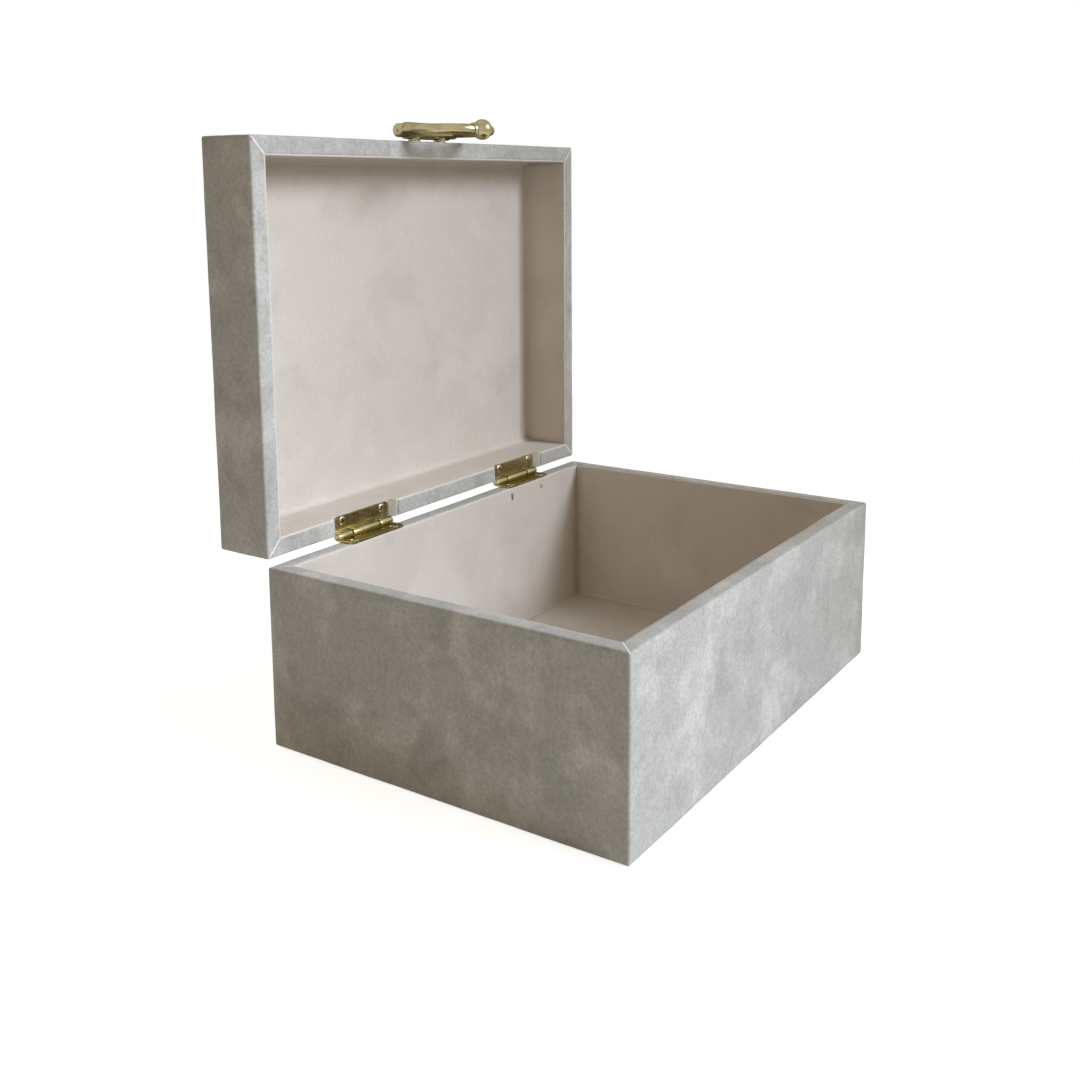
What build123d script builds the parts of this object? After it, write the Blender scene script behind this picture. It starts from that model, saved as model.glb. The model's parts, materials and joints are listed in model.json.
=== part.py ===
from build123d import *
import os
from math import asin, cos, degrees, radians, sin, sqrt

# A covered storage box, lined inside. The lid stands open on two stop hinges,
# and a ring pull hangs from the lid's front wall.
# Frame: millimetres, +Z up, front at -Y, origin at the middle of the face it rests on.

# Outside sizes, over the covering
box_width = 250.0
box_depth = 185.0
base_height = 84.0
lid_height = 30.6
closed_rim_gap = 0.3
lid_open_angle = 90.0

# Layers of a wall, from the outside in
covering_thickness = 0.7
board_thickness = 7.1
lining_thickness = 0.8
base_bottom_board_thickness = 2.0
lid_top_board_thickness = 2.6
lining_drop = 0.25
wrapped_edge_radius = 1.2

# Underside
turned_under_width = 12.0
pad_thickness = 1.1
pad_proud = 0.4
pad_clearance = 0.3

# Slits where the covering is turned over the rim and cut at each corner
mitre_slit_width = 0.3

# Butt hinges
hinge_inset = 61.5
hinge_pair_offset = 3.0
hinge_length = 38.0
hinge_leaf_reach = 9.5
hinge_leaf_thickness = 1.0
hinge_barrel_radius = 2.05
hinge_axis_overhang = 1.2
hinge_middle_knuckle = 19.0
hinge_knuckle_gap = 0.3
hinge_corner_radius = 2.0
hinge_pin_radius = 1.0
pin_clearance = 0.08
hinge_recess_clearance = 1.5

# Countersunk hinge screws
screw_head_radius = 1.9
screw_shank_radius = 1.0
screw_length = 8.0
screw_point_length = 2.0
screw_end_distance = 5.0
screw_edge_distance = 2.6
screw_clearance = 0.05
countersink_angle = 90.0
drive_slot_length = 2.2
drive_slot_width = 0.45
drive_slot_depth = 0.5

# Fixed barrel of the handle, on the lid's front wall
handle_standoff = 5.3
handle_axis_height = 7.2
handle_barrel_radius = 4.2
handle_barrel_length = 33.4
handle_barrel_chamfer = 0.4
handle_boss_radius = 3.0
handle_boss_spacing = 20.0
handle_pin_radius = 1.2

# Screws that hold the handle from inside the front wall
handle_screw_radius = 1.5
handle_screw_head_radius = 2.7
handle_screw_head_height = 1.8
handle_screw_grip = 2.2

# Swinging ring with its eyes and ball
bail_gap = 0.3
bail_wire_radius = 2.65
bail_ring_radius = 21.8
bail_ring_drop = 12.2
bail_eye_radius = 3.4
bail_eye_length = 5.5
bail_eye_rounding = 0.8
bail_ball_radius = 5.0
bail_ball_drop = 35.0
bail_collar_radius = 3.3
bail_collar_length = 1.5

# Plan sizes of the layers
board_block_width = box_width - 2 * covering_thickness
board_block_depth = box_depth - 2 * covering_thickness
mouth_width = board_block_width - 2 * board_thickness
mouth_depth = board_block_depth - 2 * board_thickness
rim_width = covering_thickness + board_thickness

# Levels of the base
base_board_level = pad_proud + covering_thickness
base_wall_level = base_board_level + base_bottom_board_thickness
base_wall_top = base_height - covering_thickness

# Levels of the lid, measured from its rim
lid_wall_top = lid_height - covering_thickness - lid_top_board_thickness

# Hinge axis, and the frame that turns about it with the lid
hinge_axis_y = box_depth / 2 + hinge_axis_overhang
hinge_axis_z = base_height + hinge_barrel_radius
open_turn = radians(lid_open_angle)
hinge_frame = Plane(
    origin=(0, hinge_axis_y, hinge_axis_z),
    x_dir=(1, 0, 0),
    z_dir=(0, sin(open_turn), cos(open_turn)),
)
lid_drop = hinge_barrel_radius - closed_rim_gap
lid_rim = Plane(
    origin=hinge_frame.from_local_coords((0, -hinge_axis_y, -lid_drop)),
    x_dir=hinge_frame.x_dir,
    z_dir=hinge_frame.z_dir,
)
hinge_recess_length = hinge_length + 2 * hinge_recess_clearance
hinge_recess_depth = hinge_barrel_radius + lid_drop

hinge_reach = box_width / 2 - hinge_inset
hinge_centres = {
    "left": hinge_pair_offset - hinge_reach,
    "right": hinge_pair_offset + hinge_reach,
}
side_turns = {"front": 0, "right": 90, "back": 180, "left": 270}

os.makedirs("parts", exist_ok=True)


def finish(piece, name):
    """Labels a finished piece and writes it."""
    piece.part.label = name
    export_step(piece.part, f"parts/{name}.step")


def turned(plane, x=0, y=0, z=0):
    """The same plane, turned about its own axes."""
    return Plane(plane.location * Rotation(x, y, z))


def wall_outline(plane, side, width, depth, thickness):
    """Plan outline of one wall of a rectangular frame, cut at the mitre at both ends."""
    runs_along_x = side in ("front", "back")
    half_run = (width if runs_along_x else depth) / 2
    reach = (depth if runs_along_x else width) / 2
    with BuildSketch(turned(plane, z=side_turns[side])) as outline:
        with BuildLine():
            Polyline(
                (-half_run, -reach),
                (half_run, -reach),
                (half_run - thickness, thickness - reach),
                (thickness - half_run, thickness - reach),
                close=True,
            )
        make_face()
    return outline.sketch


def mitre_slits(plane):
    """Four slits across the turned-over rim, from the mouth's corners towards the outer ones."""
    slit_length = rim_width * sqrt(2) - wrapped_edge_radius + mitre_slit_width
    along = (slit_length / 2 - mitre_slit_width) / sqrt(2)
    with BuildSketch(plane) as slits:
        for x_side in (-1, 1):
            for y_side in (-1, 1):
                x = x_side * (mouth_width / 2 + along)
                y = y_side * (mouth_depth / 2 + along)
                with Locations((x, y)):
                    Rectangle(slit_length, mitre_slit_width, rotation=45 * x_side * y_side)
    return slits.sketch


def hinge_recesses(plane):
    """Plan of the two recesses through the lid's back wall, open to the outside and the inside."""
    wall = rim_width + lining_thickness
    with BuildSketch(plane) as recesses:
        for x in hinge_centres.values():
            with Locations((x, box_depth / 2 - wall / 2)):
                Rectangle(hinge_recess_length, wall + 2 * wrapped_edge_radius)
    return recesses.sketch


def leaf_plane(x, flipped):
    """Frame of a leaf: at the hinge axis, +Y out of the back, +Z away from the board it lies on."""
    origin = hinge_frame.from_local_coords((x, 0, 0))
    if flipped:
        return Plane(origin=origin, x_dir=-hinge_frame.x_dir, z_dir=-hinge_frame.z_dir)
    return Plane(origin=origin)


def screw_spots(x, flipped):
    """Planes at the two screws of a leaf, on the leaf's inner face."""
    leaf = leaf_plane(x, flipped)
    spot_x = hinge_length / 2 - screw_end_distance
    spot_y = screw_edge_distance - hinge_leaf_reach
    spot_z = hinge_leaf_thickness - hinge_barrel_radius
    spots = []
    for side in (-1, 1):
        spots.append(
            Plane(
                origin=leaf.from_local_coords((side * spot_x, spot_y, spot_z)),
                x_dir=leaf.x_dir,
                z_dir=leaf.z_dir,
            )
        )
    return spots


def pilot_holes(flipped):
    """Round holes for all the screws of one set of leaves."""
    outlines = []
    for x in hinge_centres.values():
        for spot in screw_spots(x, flipped):
            with BuildSketch(spot) as hole:
                Circle(screw_shank_radius + screw_clearance)
            outlines.append(hole.sketch)
    return outlines


def handle_boss_spots(offset):
    """Planes across the handle's two bosses, facing out of the front wall, offset outwards."""
    spots = []
    for side in (-1, 1):
        local = (side * handle_boss_spacing / 2, -box_depth / 2 - offset, handle_axis_height)
        spots.append(
            Plane(
                origin=lid_rim.from_local_coords(local),
                x_dir=lid_rim.x_dir,
                z_dir=-lid_rim.y_dir,
            )
        )
    return spots


def covering_shell(plane, height, open_rim_level, closed_level):
    """Outer block of a covering, with every outer edge rounded."""
    with BuildPart() as shell:
        with BuildSketch(plane):
            Rectangle(box_width, box_depth)
        extrude(amount=height)
        fillet(shell.edges(), wrapped_edge_radius)
        with BuildSketch(plane.offset(open_rim_level)):
            Rectangle(board_block_width, board_block_depth)
        extrude(amount=closed_level - open_rim_level, mode=Mode.SUBTRACT)
    return shell.part


# Base boards: four mitred walls standing on the bottom board

with BuildPart() as base_bottom_board:
    with BuildSketch(Plane.XY.offset(base_board_level)):
        Rectangle(board_block_width, board_block_depth)
    extrude(amount=base_bottom_board_thickness)
finish(base_bottom_board, "base_bottom_board")

for side in side_turns:
    with BuildPart() as base_wall_board:
        outline = wall_outline(
            Plane.XY.offset(base_wall_level), side, board_block_width, board_block_depth, board_thickness
        )
        extrude(outline, amount=base_wall_top - base_wall_level)
        if side == "back":
            for hole in pilot_holes(flipped=False):
                extrude(hole, amount=-screw_length, mode=Mode.SUBTRACT)
    finish(base_wall_board, f"base_{side}_board")

# Base covering: one sheet round the four walls, turned over the rim and under the bottom

with BuildPart() as base_covering:
    add(covering_shell(Plane.XY.offset(pad_proud), base_height - pad_proud, covering_thickness,
                       base_wall_top - pad_proud))
    with BuildSketch(Plane.XY.offset(base_height)):
        Rectangle(mouth_width, mouth_depth)
    extrude(amount=-covering_thickness, mode=Mode.SUBTRACT)
    with BuildSketch(Plane.XY.offset(pad_proud)):
        Rectangle(box_width - 2 * turned_under_width, box_depth - 2 * turned_under_width)
    extrude(amount=covering_thickness, mode=Mode.SUBTRACT)
    extrude(mitre_slits(Plane.XY.offset(base_height)), amount=-covering_thickness, mode=Mode.SUBTRACT)
    for hole in pilot_holes(flipped=False):
        extrude(hole, amount=-screw_length, mode=Mode.SUBTRACT)
finish(base_covering, "base_covering")

# Felt pad that the box stands on, glued to the bottom board inside the turned-under edge

with BuildPart() as base_underside_pad:
    with BuildSketch(Plane.XY):
        Rectangle(
            box_width - 2 * (turned_under_width + pad_clearance),
            box_depth - 2 * (turned_under_width + pad_clearance),
        )
    extrude(amount=pad_thickness)
finish(base_underside_pad, "base_underside_pad")

# Base linings: one on the floor, and four mitred ones on it against the walls

with BuildPart() as base_floor_lining:
    with BuildSketch(Plane.XY.offset(base_wall_level)):
        Rectangle(mouth_width, mouth_depth)
    extrude(amount=lining_thickness)
finish(base_floor_lining, "base_floor_lining")

base_lining_level = base_wall_level + lining_thickness
for side in side_turns:
    with BuildPart() as base_wall_lining:
        outline = wall_outline(
            Plane.XY.offset(base_lining_level), side, mouth_width, mouth_depth, lining_thickness
        )
        extrude(outline, amount=base_height - lining_drop - base_lining_level)
    finish(base_wall_lining, f"base_{side}_lining")

# Lid boards: four mitred walls under the top board, the back one cut for the hinges

with BuildPart() as lid_top_board:
    with BuildSketch(lid_rim.offset(lid_wall_top)):
        Rectangle(board_block_width, board_block_depth)
    extrude(amount=lid_top_board_thickness)
finish(lid_top_board, "lid_top_board")

for side in side_turns:
    with BuildPart() as lid_wall_board:
        outline = wall_outline(
            lid_rim.offset(covering_thickness), side, board_block_width, board_block_depth, board_thickness
        )
        extrude(outline, amount=lid_wall_top - covering_thickness)
        if side == "back":
            extrude(hinge_recesses(lid_rim), amount=hinge_recess_depth, mode=Mode.SUBTRACT)
            for hole in pilot_holes(flipped=True):
                extrude(hole, amount=-screw_length, mode=Mode.SUBTRACT)
        if side == "front":
            for spot in handle_boss_spots(-covering_thickness):
                with BuildSketch(spot):
                    Circle(handle_screw_radius + screw_clearance)
                extrude(amount=-board_thickness, mode=Mode.SUBTRACT)
            for spot in handle_boss_spots(-rim_width):
                with BuildSketch(spot):
                    Circle(handle_screw_head_radius + screw_clearance)
                extrude(amount=handle_screw_head_height + screw_clearance, mode=Mode.SUBTRACT)
    finish(lid_wall_board, f"lid_{side}_board")

# Lid covering: one sheet over the top and down the walls, turned over the rim

with BuildPart() as lid_covering:
    add(covering_shell(lid_rim, lid_height, covering_thickness, lid_height - covering_thickness))
    with BuildSketch(lid_rim):
        Rectangle(mouth_width, mouth_depth)
    extrude(amount=covering_thickness, mode=Mode.SUBTRACT)
    extrude(mitre_slits(lid_rim), amount=covering_thickness, mode=Mode.SUBTRACT)
    extrude(hinge_recesses(lid_rim), amount=hinge_recess_depth, mode=Mode.SUBTRACT)
    for spot in handle_boss_spots(0):
        with BuildSketch(spot):
            Circle(handle_screw_radius + screw_clearance)
        extrude(amount=-covering_thickness, mode=Mode.SUBTRACT)
finish(lid_covering, "lid_covering")

# Lid linings: one under the top board, and four mitred ones against the walls

with BuildPart() as lid_top_lining:
    with BuildSketch(lid_rim.offset(lid_wall_top)):
        Rectangle(mouth_width, mouth_depth)
    extrude(amount=-lining_thickness)
finish(lid_top_lining, "lid_top_lining")

for side in side_turns:
    with BuildPart() as lid_wall_lining:
        outline = wall_outline(
            lid_rim.offset(lining_drop), side, mouth_width, mouth_depth, lining_thickness
        )
        extrude(outline, amount=lid_wall_top - lining_thickness - lining_drop)
        if side == "back":
            extrude(hinge_recesses(lid_rim), amount=hinge_recess_depth, mode=Mode.SUBTRACT)
    finish(lid_wall_lining, f"lid_{side}_lining")

# Hinge leaves: a flat plate whose edge is rolled round the pin, notched for the other leaf

outer_knuckle = (hinge_length - hinge_middle_knuckle) / 2 - hinge_knuckle_gap
knuckles = {
    "base": [
        (-hinge_length / 2, outer_knuckle),
        (hinge_length / 2 - outer_knuckle, outer_knuckle),
    ],
    "lid": [(-hinge_middle_knuckle / 2, hinge_middle_knuckle)],
}

for hand, x in hinge_centres.items():
    for owner, spans in knuckles.items():
        flipped = owner == "lid"
        leaf_frame = leaf_plane(x, flipped)
        plate_edge = hinge_barrel_radius + hinge_knuckle_gap
        plate_reach = hinge_leaf_reach - plate_edge
        with BuildPart() as hinge_leaf:
            with BuildSketch(leaf_frame.offset(-hinge_barrel_radius)) as plate:
                with Locations((0, -plate_edge - plate_reach / 2)):
                    Rectangle(hinge_length, plate_reach)
                far_corners = plate.vertices().group_by(SortBy.DISTANCE)[-1]
                fillet(far_corners, hinge_corner_radius)
            extrude(amount=hinge_leaf_thickness)
            for start, length in spans:
                side_plane = Plane(
                    origin=leaf_frame.from_local_coords((start, 0, 0)),
                    x_dir=leaf_frame.y_dir,
                    z_dir=leaf_frame.x_dir,
                )
                with BuildSketch(side_plane):
                    Circle(hinge_barrel_radius)
                    with Locations((0, -hinge_barrel_radius)):
                        Rectangle(plate_edge, hinge_leaf_thickness, align=(Align.MAX, Align.MIN))
                    Circle(hinge_pin_radius + pin_clearance, mode=Mode.SUBTRACT)
                extrude(amount=length)
            for spot in screw_spots(x, flipped):
                with Locations(spot.location):
                    CounterSinkHole(
                        screw_shank_radius + screw_clearance,
                        screw_head_radius + screw_clearance,
                        depth=2 * hinge_leaf_thickness,
                        counter_sink_angle=countersink_angle,
                    )
        finish(hinge_leaf, f"{hand}_hinge_{owner}_leaf")

    with BuildPart() as hinge_pin:
        with BuildSketch(Plane.YZ.offset(x)):
            with Locations((hinge_axis_y, hinge_axis_z)):
                Circle(hinge_pin_radius)
        extrude(amount=hinge_length / 2, both=True)
    finish(hinge_pin, f"{hand}_hinge_pin")

# Hinge screws: countersunk, with a pointed end and a cross slot in the head

head_height = screw_head_radius - screw_shank_radius
for owner in knuckles:
    flipped = owner == "lid"
    with BuildPart() as hinge_screws:
        for x in hinge_centres.values():
            for spot in screw_spots(x, flipped):
                profile_plane = Plane(origin=spot.origin, x_dir=spot.x_dir, z_dir=spot.y_dir)
                with BuildSketch(profile_plane):
                    with BuildLine():
                        Polyline(
                            (0, 0),
                            (screw_head_radius, 0),
                            (screw_shank_radius, head_height),
                            (screw_shank_radius, screw_length - screw_point_length),
                            (0, screw_length),
                            close=True,
                        )
                    make_face()
                revolve(axis=Axis(spot.origin, spot.z_dir))
                with BuildSketch(spot):
                    Rectangle(drive_slot_length, drive_slot_width)
                    Rectangle(drive_slot_width, drive_slot_length)
                extrude(amount=-drive_slot_depth, mode=Mode.SUBTRACT)
    finish(hinge_screws, f"{owner}_hinge_screws")

# Handle mount: a barrel on two bosses, bored for the pin and tapped for the screws

handle_centre = lid_rim.from_local_coords((0, -box_depth / 2 - handle_standoff, handle_axis_height))
barrel_plane = Plane(origin=handle_centre, x_dir=lid_rim.y_dir, z_dir=lid_rim.x_dir)
screw_depth = handle_screw_grip + screw_clearance

with BuildPart() as handle_mount:
    with BuildSketch(barrel_plane):
        Circle(handle_barrel_radius)
    extrude(amount=handle_barrel_length / 2, both=True)
    chamfer(handle_mount.edges().filter_by(GeomType.CIRCLE), handle_barrel_chamfer)
    for spot in handle_boss_spots(0):
        with BuildSketch(spot):
            Circle(handle_boss_radius)
        extrude(amount=handle_standoff)
    with BuildSketch(barrel_plane):
        Circle(handle_pin_radius + pin_clearance)
    extrude(amount=handle_barrel_length / 2, both=True, mode=Mode.SUBTRACT)
    for spot in handle_boss_spots(0):
        with BuildSketch(spot):
            Circle(handle_screw_radius + screw_clearance)
        extrude(amount=screw_depth, mode=Mode.SUBTRACT)
finish(handle_mount, "handle_mount")

with BuildPart() as handle_screws:
    for spot in handle_boss_spots(-rim_width):
        with BuildSketch(spot):
            Circle(handle_screw_head_radius)
        extrude(amount=handle_screw_head_height)
        with BuildSketch(spot):
            Circle(handle_screw_radius)
        extrude(amount=rim_width + handle_screw_grip)
        with BuildSketch(spot):
            Rectangle(drive_slot_length, drive_slot_width)
            Rectangle(drive_slot_width, drive_slot_length)
        extrude(amount=drive_slot_depth, mode=Mode.SUBTRACT)
finish(handle_screws, "handle_screws")

# Pin through the barrel and both eyes

eye_start = handle_barrel_length / 2 + bail_gap
eye_end = eye_start + bail_eye_length

with BuildPart() as handle_pin:
    with BuildSketch(barrel_plane):
        Circle(handle_pin_radius)
    extrude(amount=eye_end, both=True)
finish(handle_pin, "handle_pin")

# Ring pull: a round wire bent to a ring, with an eye at each end and a ball at the bottom.
# It lies parallel to the lid's front wall, which is how it hangs when the lid is closed.

hanging_plane = Plane(origin=handle_centre, x_dir=lid_rim.x_dir, z_dir=-lid_rim.y_dir)
ring_plane = Plane(
    origin=hanging_plane.from_local_coords((0, -bail_ring_drop, 0)),
    x_dir=hanging_plane.x_dir,
    z_dir=hanging_plane.z_dir,
)
ring_axis = Axis(ring_plane.origin, ring_plane.z_dir)
quarter_turn = 90
wire_half_sweep = quarter_turn + degrees(asin(bail_ring_drop / bail_ring_radius))
collar_angle = degrees(asin(bail_ball_radius / bail_ring_radius))
collar_half_sweep = degrees(bail_collar_length / 2 / bail_ring_radius)


def ring_section(angle):
    """Plane across the wire, at an angle round the ring from its lowest point."""
    spoke = turned(ring_plane, z=angle)
    return Plane(
        origin=spoke.from_local_coords((0, -bail_ring_radius, 0)),
        x_dir=spoke.y_dir,
        z_dir=spoke.x_dir,
    )


with BuildPart() as handle_bail:
    with BuildSketch(ring_section(-wire_half_sweep)):
        Circle(bail_wire_radius)
    revolve(axis=ring_axis, revolution_arc=2 * wire_half_sweep)
    for angle in (-collar_angle, collar_angle):
        with BuildSketch(ring_section(angle - collar_half_sweep)):
            Circle(bail_collar_radius)
        revolve(axis=ring_axis, revolution_arc=2 * collar_half_sweep)
    with Locations(hanging_plane.location * Location((0, -bail_ball_drop, 0), (0, quarter_turn, 0))):
        Sphere(bail_ball_radius)
    with BuildSketch(barrel_plane):
        Circle(handle_barrel_radius + bail_gap)
    extrude(amount=eye_start, both=True, mode=Mode.SUBTRACT)
    for end in (-1, 1):
        with BuildPart(mode=Mode.PRIVATE) as eye:
            with BuildSketch(barrel_plane.offset(end * eye_start)):
                Circle(bail_eye_radius)
            extrude(amount=end * bail_eye_length)
            outer_circle = eye.edges().filter_by_position(Axis.X, end * eye_end, end * eye_end)
            fillet(outer_circle, bail_eye_rounding)
        add(eye.part)
    with BuildSketch(barrel_plane):
        Circle(handle_pin_radius + pin_clearance)
    extrude(amount=eye_end, both=True, mode=Mode.SUBTRACT)
finish(handle_bail, "handle_bail")
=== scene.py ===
import json
import math

import bmesh
import bpy
from mathutils import Matrix, Vector, noise


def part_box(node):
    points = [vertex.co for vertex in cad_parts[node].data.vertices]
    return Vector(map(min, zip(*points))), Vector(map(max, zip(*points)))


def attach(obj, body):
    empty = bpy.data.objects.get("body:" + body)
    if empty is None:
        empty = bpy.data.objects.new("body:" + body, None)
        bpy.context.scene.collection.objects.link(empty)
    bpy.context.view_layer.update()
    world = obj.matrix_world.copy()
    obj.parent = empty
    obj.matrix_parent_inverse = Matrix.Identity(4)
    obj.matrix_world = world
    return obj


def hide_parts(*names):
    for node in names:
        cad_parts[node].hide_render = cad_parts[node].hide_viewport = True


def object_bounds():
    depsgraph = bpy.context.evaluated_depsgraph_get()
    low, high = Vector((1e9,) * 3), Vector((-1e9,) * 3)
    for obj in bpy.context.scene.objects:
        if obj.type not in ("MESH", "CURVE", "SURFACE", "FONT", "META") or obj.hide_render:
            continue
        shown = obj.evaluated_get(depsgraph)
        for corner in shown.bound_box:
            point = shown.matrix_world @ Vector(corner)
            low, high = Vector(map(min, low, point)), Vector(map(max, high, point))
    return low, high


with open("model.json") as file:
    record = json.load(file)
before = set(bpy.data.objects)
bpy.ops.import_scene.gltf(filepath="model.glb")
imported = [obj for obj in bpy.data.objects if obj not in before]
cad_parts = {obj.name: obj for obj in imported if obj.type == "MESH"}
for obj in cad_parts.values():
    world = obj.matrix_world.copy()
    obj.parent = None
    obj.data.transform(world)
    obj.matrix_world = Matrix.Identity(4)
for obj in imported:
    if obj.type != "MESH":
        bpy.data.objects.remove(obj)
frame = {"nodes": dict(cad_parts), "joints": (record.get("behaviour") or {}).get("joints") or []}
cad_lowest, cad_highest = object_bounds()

# Camera
# It stands to the left of the box and a little in front of it, just below the open lid's top.
# Its frame is shifted because the photograph is trimmed unevenly.

photo_side = 1080
focal_pixels = 1217.9
optical_centre = (556, 375)
camera_place = (-0.48759, -0.3007, 0.25059)
camera_turn = (1.41595, 0.00493, -0.98762)


def new_object(name, data):
    """An object that holds this data, put into the scene."""
    made = bpy.data.objects.new(name, data)
    bpy.context.scene.collection.objects.link(made)
    return made


camera_data = bpy.data.cameras.new("camera")
camera_data.sensor_width = 36
camera_data.lens = focal_pixels / photo_side * camera_data.sensor_width
camera_data.shift_x = (photo_side / 2 - optical_centre[0]) / photo_side
camera_data.shift_y = (optical_centre[1] - photo_side / 2) / photo_side
camera = new_object("camera", camera_data)
camera.location = camera_place
camera.rotation_euler = camera_turn
bpy.context.scene.camera = camera
bpy.context.scene.view_settings.view_transform = "Standard"

# Studio
# A white paper floor in a dim warm room. A gridded softbox at the right lights the box's front,
# and two wide softboxes fill in its left and its back.

floor_side = 8.0
floor_drop = 0.0002
floor_colour = (0.80, 0.80, 0.80, 1)
floor_glow = 0.80
floor_shadow_reach = 0.35
floor_white_from = 0.75
room_colour = (1.0, 0.867, 0.642, 1)
room_strength = 0.295
box_middle = (0, 0, 0.12)
box_left_front = (-0.28, 0, 0.14)


def feed(tree, node, feeds):
    """Sets a node's inputs to values, or links them to the outputs of other nodes."""
    for name, value in feeds:
        if hasattr(value, "is_output"):
            tree.links.new(value, node.inputs[name])
        else:
            node.inputs[name].default_value = value


def add_node(tree, kind, place, feeds=(), **settings):
    """Adds a node to a tree, at a place in the node editor, and feeds its inputs."""
    node = tree.nodes.new(kind)
    node.location = place
    for name, value in settings.items():
        setattr(node, name, value)
    feed(tree, node, feeds)
    return node


def math_node(tree, operation, place, *operands):
    """The result of a sum on values or outputs."""
    feeds = enumerate(operands)
    return add_node(tree, "ShaderNodeMath", place, feeds, operation=operation).outputs[0]


def mapped(tree, value, source, target, place):
    """A value moved from one range to another, eased and held at the ends."""
    labels = ("Value", "From Min", "From Max", "To Min", "To Max")
    feeds = zip(labels, (value, *source, *target))
    ranged = add_node(tree, "ShaderNodeMapRange", place, feeds, interpolation_type="SMOOTHSTEP")
    return ranged.outputs["Result"]


def show_camera(tree, lighting, shown, output_name):
    """Lets one shader light the box, and shows another to the camera, straight or in a mirror."""
    rays = add_node(tree, "ShaderNodeLightPath", (-600, 300)).outputs
    straight = math_node(tree, "MAXIMUM", (-420, 300), rays["Is Camera Ray"], rays["Is Glossy Ray"])
    either = math_node(tree, "MAXIMUM", (-240, 300), straight, rays["Is Transmission Ray"])
    choice = add_node(
        tree, "ShaderNodeMixShader", (650, 0), [(0, either), (1, lighting), (2, shown)]
    )
    tree.links.new(choice.outputs[0], tree.nodes[output_name].inputs["Surface"])


def paper_floor_material():
    """Matt white paper that glows a little for the camera, so that it renders white with a shadow.
    Away from the box it turns to plain white."""
    material = bpy.data.materials.new("floor paper")
    material.use_nodes = True
    tree = material.node_tree
    shader = tree.nodes["Principled BSDF"]
    feed(
        tree, shader,
        [("Base Color", floor_colour), ("Roughness", 1.0), ("Specular IOR Level", 0.0)],
    )
    paper = shader.outputs[0]
    glow = add_node(tree, "ShaderNodeEmission", (0, -300), [("Strength", floor_glow)]).outputs[0]
    both = add_node(tree, "ShaderNodeAddShader", (250, -150), [(0, paper), (1, glow)]).outputs[0]
    white = add_node(tree, "ShaderNodeEmission", (250, -350)).outputs[0]
    here = add_node(tree, "ShaderNodeTexCoord", (-600, -450)).outputs["Object"]
    distance = add_node(
        tree, "ShaderNodeVectorMath", (-400, -450), [(0, here)], operation="LENGTH"
    ).outputs["Value"]
    fade = (floor_shadow_reach, floor_white_from)
    far_away = mapped(tree, distance, fade, (0.0, 1.0), (-200, -450))
    shown = add_node(
        tree, "ShaderNodeMixShader", (450, -250), [(0, far_away), (1, both), (2, white)]
    )
    show_camera(tree, paper, shown.outputs[0], "Material Output")
    return material


def softbox(name, place, aim, size, spread, power, colour):
    """A square soft light, aimed at a point. spread is how wide its grid lets the light go."""
    data = bpy.data.lights.new(name, "AREA")
    data.size = size
    data.spread = math.radians(spread)
    data.energy = power
    data.color = colour
    lamp = new_object(name, data)
    lamp.location = place
    lamp.rotation_euler = (Vector(aim) - Vector(place)).to_track_quat("-Z", "Y").to_euler()


half = floor_side / 2
floor_corners = [(-half, -half, 0), (half, -half, 0), (half, half, 0), (-half, half, 0)]
floor_mesh = bpy.data.meshes.new("floor")
floor_mesh.from_pydata(floor_corners, [], [(0, 1, 2, 3)])
floor_mesh.materials.append(paper_floor_material())
floor = new_object("floor", floor_mesh)
floor.location = (0, 0, cad_lowest.z - floor_drop)

world = bpy.data.worlds.new("studio")
bpy.context.scene.world = world
world.use_nodes = True
room_light = world.node_tree.nodes["Background"]
feed(world.node_tree, room_light, [("Color", room_colour), ("Strength", room_strength)])
white_wall = add_node(
    world.node_tree, "ShaderNodeBackground", (0, -200), [("Color", (1, 1, 1, 1))]
)
show_camera(world.node_tree, room_light.outputs[0], white_wall.outputs[0], "World Output")

softbox(
    "front softbox", (0.22, -1.12, 0.76), box_left_front,
    size=0.75, spread=39, power=2.28, colour=(0.790, 0.869, 1.0),
)
softbox(
    "left fill", (-1.6, 0.15, 0.35), box_middle,
    size=1.0, spread=180, power=0.62, colour=(1.0, 0.875, 0.675),
)
softbox(
    "back fill", (0.7, 1.5, 0.45), box_middle,
    size=1.2, spread=150, power=4.0, colour=(1.0, 1.0, 0.95),
)

# Covering of the base
# One sheet of grey suede-look leatherette, glued round the four walls. It is turned over the
# rim and under the bottom, and cut at each rim corner, where its pale backing shows.

MM = 0.001
edge_rounding = 1.2 * MM
inner_edge_rounding = 0.2 * MM
sheet_thickness = 0.7 * MM
turned_under = 12.0 * MM
cut_half_width = 0.36 * MM
cut_depth = 0.02 * MM
weld_distance = 0.00001
corner_steps = 4
run_steps = 110
under_steps = 6
wall_steps = 42
rim_steps = 7
suede_wave = 0.16 * MM
suede_wave_length = 26 * MM
suede_ripple = 0.05 * MM
suede_ripple_length = 6 * MM
nap_bump_strength = 0.6
nap_gloss = 0.25
nap_sheen_roughness = 0.45
raw_cut_shade = 0.86

suede_ground = (0.500, 0.486, 0.452, 1)
suede_bloom = (0.640, 0.614, 0.580, 1)
suede_shade = (0.405, 0.398, 0.362, 1)
# Pale edge colour: rubbed nap, and partly a painted highlight along the rounded edges.
suede_rubbed_and_highlight = (0.680, 0.672, 0.655, 1)
suede_sheen = 0.15
suede_sheen_colour = (0.9, 0.93, 1.0, 1)
backing_colour = (0.86, 0.85, 0.82, 1)


def smooth_step(t):
    """Eases from 0 to 1."""
    t = min(max(t, 0.0), 1.0)
    return t * t * (3 - 2 * t)


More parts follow.
